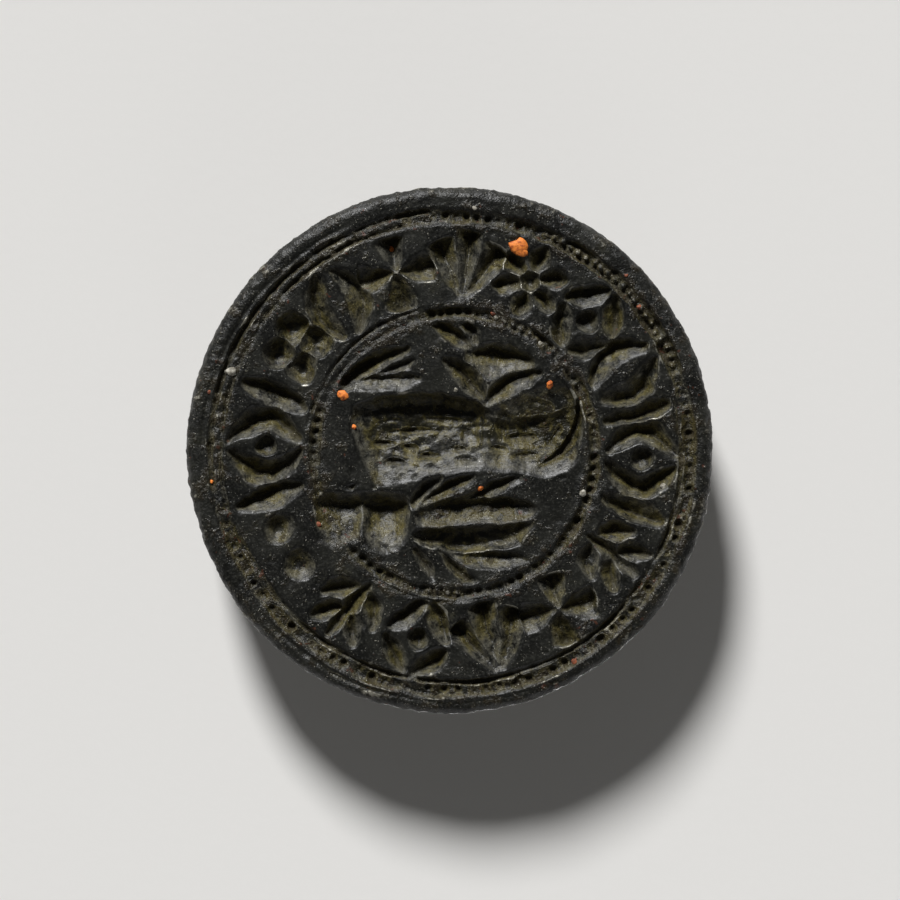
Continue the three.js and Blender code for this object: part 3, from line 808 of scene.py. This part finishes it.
# How far the skin swells out or is eaten away, in mm
def skinShift(points, radius, decay):
    swell = uneven(points, die["swell"], 5, 2)
    skin = (0.012 + die["decay"] * decay * 0.6) * rough(points, 0.5, 7, 3)
    eaten = die["pitting"] * pits(points, 0.42, 9, 0.4)
    eaten += die["pitting"] * pits(points, 0.9, 10, 0.55)
    eaten += die["decay"] * decay * pits(points, 0.6, 12, 0.2, 0.7)
    edge = step(radius, edgeRadius - 0.9, edgeRadius - 0.3)
    dents = die["dents"] * edge * (0.45 + 0.55 * rough(points, 0.42, 17, 3))
    return np.minimum(swell + skin - eaten - dents, die["skinTop"]) - die["skinTop"]


def dieMesh():
    mesh, points = dieGrid()
    radius = np.hypot(*points.T[:2])
    depth, burr = carving(mesh, points, radius)

    # The worn outline wavers all the way down the side
    around = points / np.maximum(radius, 1)[:, None] * [1, 1, 0] * 3
    waver = (0.6 + 0.5 * rough(around, 1.5, 3)) * step(radius, edgeRadius - 1.6, edgeRadius)
    points[:, :2] *= 1 - (die["waver"] * waver / np.maximum(radius, 1))[:, None]
    points[:, 2] += burr - depth
    movePoints(mesh, points)

    decay = corrosion(points, radius)
    points += normalsOf(mesh) * skinShift(points, radius, decay)[:, None]
    movePoints(mesh, points)
    setMark(mesh, "depth", depth)
    setMark(mesh, "decay", decay)
    reached = step(points[:, 2] - backLevel, *die["aboveBack"])
    handled = reached * (1 - 0.5 * step(radius, *die["outerEdge"]))
    markWear(mesh, *die["wearPasses"], handled)
    return mesh


dieBronze = agedBronze("dieBronze", diePatina)
engravedDie = piece("engravedDie", dieMesh(), dieBronze, "die", "die_disc")
print("die: done,", len(engravedDie.data.polygons), "faces")


# The hinge and the handle

forged = {
    "voxel": 0.11,      # the cells of the remade skin, in mm
    "soften": 5,                           # passes
    "swell": (0.02, 2.2),                  # height and width in mm
    "grain": (0.008, 0.4),
    "pitting": (0.025, 0.5),
    "skinTop": 0.012,                      # the highest swell, which ends at the CAD's surface
    "wearPasses": (4, 20),
}
handlePatina = diePatina | {
    "slate": (0.011, 0.011, 0.0085),
    "slatePale": (0.055, 0.053, 0.042),
    "roughness": 0.46,
}
ironRust = diePatina | {
    "slate": (0.02, 0.012, 0.0075),
    "slatePale": (0.07, 0.038, 0.02),
    "oliveWash": (1.3, 0.7, 0.45),
    # Dark dirt of the hollows, which is also painted shade there
    "oliveDarkAndShade": (0.05, 0.018, 0.008),
    # Rubbed metal of the crests, which is also a painted highlight along the edges
    "bare": (0.15, 0.13, 0.115),
    "roughness": 0.62,
}


# The CAD form with the edges and faces of worked metal: remade in even cells, softened,
# then swelled and pitted
def forgedMesh(node, name, seed):
    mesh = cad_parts[node].data.copy()
    mesh.name = name
    movePoints(mesh, cadPoints(node))
    carrier = bpy.data.objects.new(name, mesh)
    bpy.context.scene.collection.objects.link(carrier)
    remake = carrier.modifiers.new("remake", "REMESH")
    remake.mode = "VOXEL"
    remake.voxel_size = forged["voxel"]
    ready = carrier.evaluated_get(bpy.context.evaluated_depsgraph_get())
    made = bpy.data.meshes.new_from_object(ready)
    bpy.data.objects.remove(carrier)
    bpy.data.meshes.remove(mesh)
    made.name = name

    points = relaxed(pointsOf(made), edgesOf(made), forged["soften"])
    movePoints(made, points)
    shift = uneven(points, forged["swell"], seed, 2) + uneven(points, forged["grain"], seed + 4)
    pitDepth, pitWidth = forged["pitting"]
    shift -= pitDepth * pits(points, pitWidth, seed + 9, 0.45)
    points += normalsOf(made) * np.minimum(shift - forged["skinTop"], 0.0)[:, None]
    movePoints(made, points)
    markWear(made, *forged["wearPasses"])
    return made


handleBronze = agedBronze("handleBronze", handlePatina)
rustedIron = agedBronze("rustedIron", ironRust)
forkMesh = forgedMesh("hinge_bracket", "hingeFork", 2)
piece("hingeFork", forkMesh, handleBronze, "die", "hinge_bracket")
rivetMesh = forgedMesh("hinge_pin", "hingeRivet", 5)
piece("hingeRivet", rivetMesh, rustedIron, "die", "hinge_pin")
leafMesh = forgedMesh("handle_leaf", "leafHandle", 8)
piece("leafHandle", leafMesh, handleBronze, "handle", "handle_leaf")
print("hinge and handle: done")


# Crumbs of wax, grit and rust

# Each kind's colours, and the place on the face, radius and half height of each crumb in mm
waxFlecks = {
    "pale": (0.83, 0.24, 0.035),
    "dark": (0.42, 0.09, 0.015),
    "seed": 50,
    "spots": [
        ((4.1, 12.25), 0.5, 0.15),
        ((4.3, 12.0), 0.34, 0.12),
        ((-6.4, 3.3), 0.3, 0.12),
        ((-5.8, 1.38), 0.17, 0.1),
        ((-3.55, 12.15), 0.2, 0.12),
        ((6.0, 3.96), 0.24, 0.14),
        ((-14.35, -1.9), 0.14, 0.1),
        ((1.8, -2.3), 0.2, 0.14),
    ],
}
paleGrains = {
    "pale": (0.42, 0.4, 0.34),
    "dark": (0.17, 0.155, 0.12),
    "seed": 70,
    "spots": [
        ((-13.2, 4.66), 0.3, 0.12),
        ((5.45, 6.4), 0.2, 0.12),
        ((12.85, -2.2), 0.17, 0.12),
        ((8.0, -2.55), 0.2, 0.14),
        ((1.5, 14.55), 0.12, 0.08),
        ((0.35, 3.6), 0.13, 0.09),
    ],
}
rustGrains = {
    "pale": (0.26, 0.07, 0.025),
    "dark": (0.09, 0.028, 0.014),
    "seed": 90,
    "spots": [
        ((-7.95, -4.5), 0.2, 0.05),
        ((2.6, 8.25), 0.15, 0.08),
        ((10.6, 10.5), 0.12, 0.07),
        ((11.4, 8.6), 0.16, 0.07),
        ((7.5, -12.75), 0.24, 0.07),
        ((-14.5, 3.5), 0.13, 0.07),
    ],
}

crumbForm = {
    "turns": 18,
    "storeys": 7,
    "broken": (0.45, 0.9),                 # height and width of its breaks, on a radius of 1
    "lift": 0.1,                           # of its middle above the metal, in half heights
    "relief": 0.04,                        # of its grain, in mm
}


# A small flattened lump with a broken outline, sunk into what carries it
def crumb(centre, size, height, seed):
    turns, storeys = crumbForm["turns"], crumbForm["storeys"]
    points, faces = [], []
    for storey in range(storeys + 1):
        lift = math.pi * (storey / storeys - 0.5)
        out = math.cos(lift)
        for turn in range(turns):
            around = 2 * math.pi * turn / turns
            points.append((out * math.cos(around), out * math.sin(around), math.sin(lift)))
    for storey in range(storeys):
        for turn in range(turns):
            here, following = storey * turns + turn, storey * turns + (turn + 1) % turns
            faces.append((here, following, following + turns, here + turns))
    points = np.array(points)
    points *= (1 + uneven(points, crumbForm["broken"], seed))[:, None]
    return points * [size, size, height] + centre, faces


# Crumbly stuff with darker clots
def clotted(name, look):
    shade = Shade(bpy.data.materials.new(name))
    clots, dust = shade.grain(0.22, 3.0), shade.grain(0.05)
    colour = shade.mix(shade.rise(clots, 0.4, 0.66), look["pale"], look["dark"])
    height = clots + 0.4 * dust
    return shade.finish(shade.surface(colour, 0.5 + 0.3 * dust, 0.0, height, crumbForm["relief"]))


# One piece for all the crumbs of a kind, each set down on the cut face
def crumbs(name, material, look):
    tree = BVHTree.FromObject(engravedDie, bpy.context.evaluated_depsgraph_get())
    points, faces = [], []
    for seed, ((x, y), size, height) in enumerate(look["spots"], look["seed"]):
        above = Vector((x * mm, y * mm, 2 * faceLevel * mm))
        ground = tree.ray_cast(above, Vector((0, 0, -1)))[0].z / mm
        middle = (x, y, ground + crumbForm["lift"] * height)
        made, corners = crumb(middle, size, height, seed)
        faces += [tuple(len(points) + corner for corner in face) for face in corners]
        points += made.tolist()
    mesh = bpy.data.meshes.new(name)
    mesh.from_pydata(points, [], faces)
    mesh.validate()
    piece(name, mesh, clotted(material, look), "die")


crumbs("waxFlecks", "orangeWax", waxFlecks)
crumbs("paleGrains", "paleGrit", paleGrains)
crumbs("rustGrains", "redRust", rustGrains)
print("crumbs: done")


# Floor, light and camera

paper = {
    "pale": (0.78, 0.77, 0.75),
    "fibre": (0.6, 0.59, 0.57),
    "fibreSize": 0.6,                      # in mm
    "fibreShare": 0.05,
    "relief": 0.006,                       # in mm
    "reach": 1.6,                          # of the floor each way, in m
}


# A pale paper floor. From under it the camera sees through to the back of the seal, which the
# light below reaches through it too
def floorPlane():
    reach = paper["reach"]
    corners = [(-reach, -reach, 0), (reach, -reach, 0), (reach, reach, 0), (-reach, reach, 0)]
    mesh = bpy.data.meshes.new("floor")
    mesh.from_pydata(corners, [], [(0, 1, 2, 3)])
    shade = Shade(bpy.data.materials.new("paperFloor"))
    fibre = shade.grain(paper["fibreSize"], 3.0)
    colour = shade.mix(paper["fibreShare"] * fibre, paper["pale"], paper["fibre"])
    above = shade.surface(colour, 0.9, 0.0, fibre, paper["relief"], 0.2)
    fromUnder = shade.add("ShaderNodeNewGeometry", out="Backfacing")
    shadowRay = shade.add("ShaderNodeLightPath", out="Is Shadow Ray")
    clear = shade.add("ShaderNodeBsdfTransparent")
    sockets = {0: fromUnder + shadowRay, 1: above, 2: clear}
    mesh.materials.append(shade.finish(shade.add("ShaderNodeMixShader", None, sockets)))
    made = bpy.data.objects.new("floor", mesh)
    bpy.context.scene.collection.objects.link(made)


# Where each light comes from, how wide it looks in degrees, and its strength. The one below
# reaches the back alone, through the floor
lights = {
    "key": ((-0.2, 0.7, 0.5), 13.0, 4.7),
    "fill": ((0.24, -1.0, 0.22), 33.0, 0.29),
    "under": ((0.1, -0.3, -1.2), 28.0, 4.5),
}


# An even soft light that falls from one side on everything alike
def softLight(name, comesFrom, angle, strength):
    lamp = bpy.data.lights.new(name, "SUN")
    lamp.angle = math.radians(angle)
    lamp.energy = strength
    made = bpy.data.objects.new(name, lamp)
    made.rotation_euler = Vector(comesFrom).to_track_quat("Z", "Y").to_euler()
    bpy.context.scene.collection.objects.link(made)


# The room's own glow, dim overhead and below and pale round the horizon. Each span says from
# where to where it fades, as the height of a direction of length 1
roomGlow = {
    "tint": (1.0, 0.99, 0.97, 1),
    "horizon": 0.5,
    "overhead": 0.06,
    "overheadSpan": (0.02, 0.42),
    "below": 0.12,
    "belowSpan": (0.02, 0.3),
}


def room():
    shade = Shade(bpy.data.worlds.new("room"), "Generated")
    height = shade.add("ShaderNodeSeparateXYZ", None, {0: shade.place}, "Z")
    horizon = roomGlow["horizon"]
    above = (roomGlow["overhead"] - horizon) * shade.rise(height, *roomGlow["overheadSpan"])
    below = (roomGlow["below"] - horizon) * shade.rise(-1.0 * height, *roomGlow["belowSpan"])
    sockets = {"Color": roomGlow["tint"], "Strength": horizon + above + below}
    glow = shade.add("ShaderNodeBackground", None, sockets)
    bpy.context.scene.world = shade.finish(glow, "ShaderNodeOutputWorld")


# Square on to the face. The picture is that many millimetres wide at the face
photoView = {"lens": 100.0, "sensor": 36.0, "wide": 54.1, "clip": (0.005, 10)}


def photoCamera():
    camera = bpy.data.cameras.new("photoCamera")
    camera.lens = photoView["lens"]
    camera.sensor_width = photoView["sensor"]
    camera.clip_start, camera.clip_end = photoView["clip"]
    made = bpy.data.objects.new("photoCamera", camera)
    away = photoView["wide"] * photoView["lens"] / photoView["sensor"]
    made.location = (0, 0, (faceLevel + away) * mm)
    bpy.context.scene.collection.objects.link(made)
    bpy.context.scene.camera = made


floorPlane()
for light, settings in lights.items():
    softLight(light, *settings)
room()
photoCamera()
bpy.context.scene.view_settings.view_transform = "Standard"
print("studio: done")
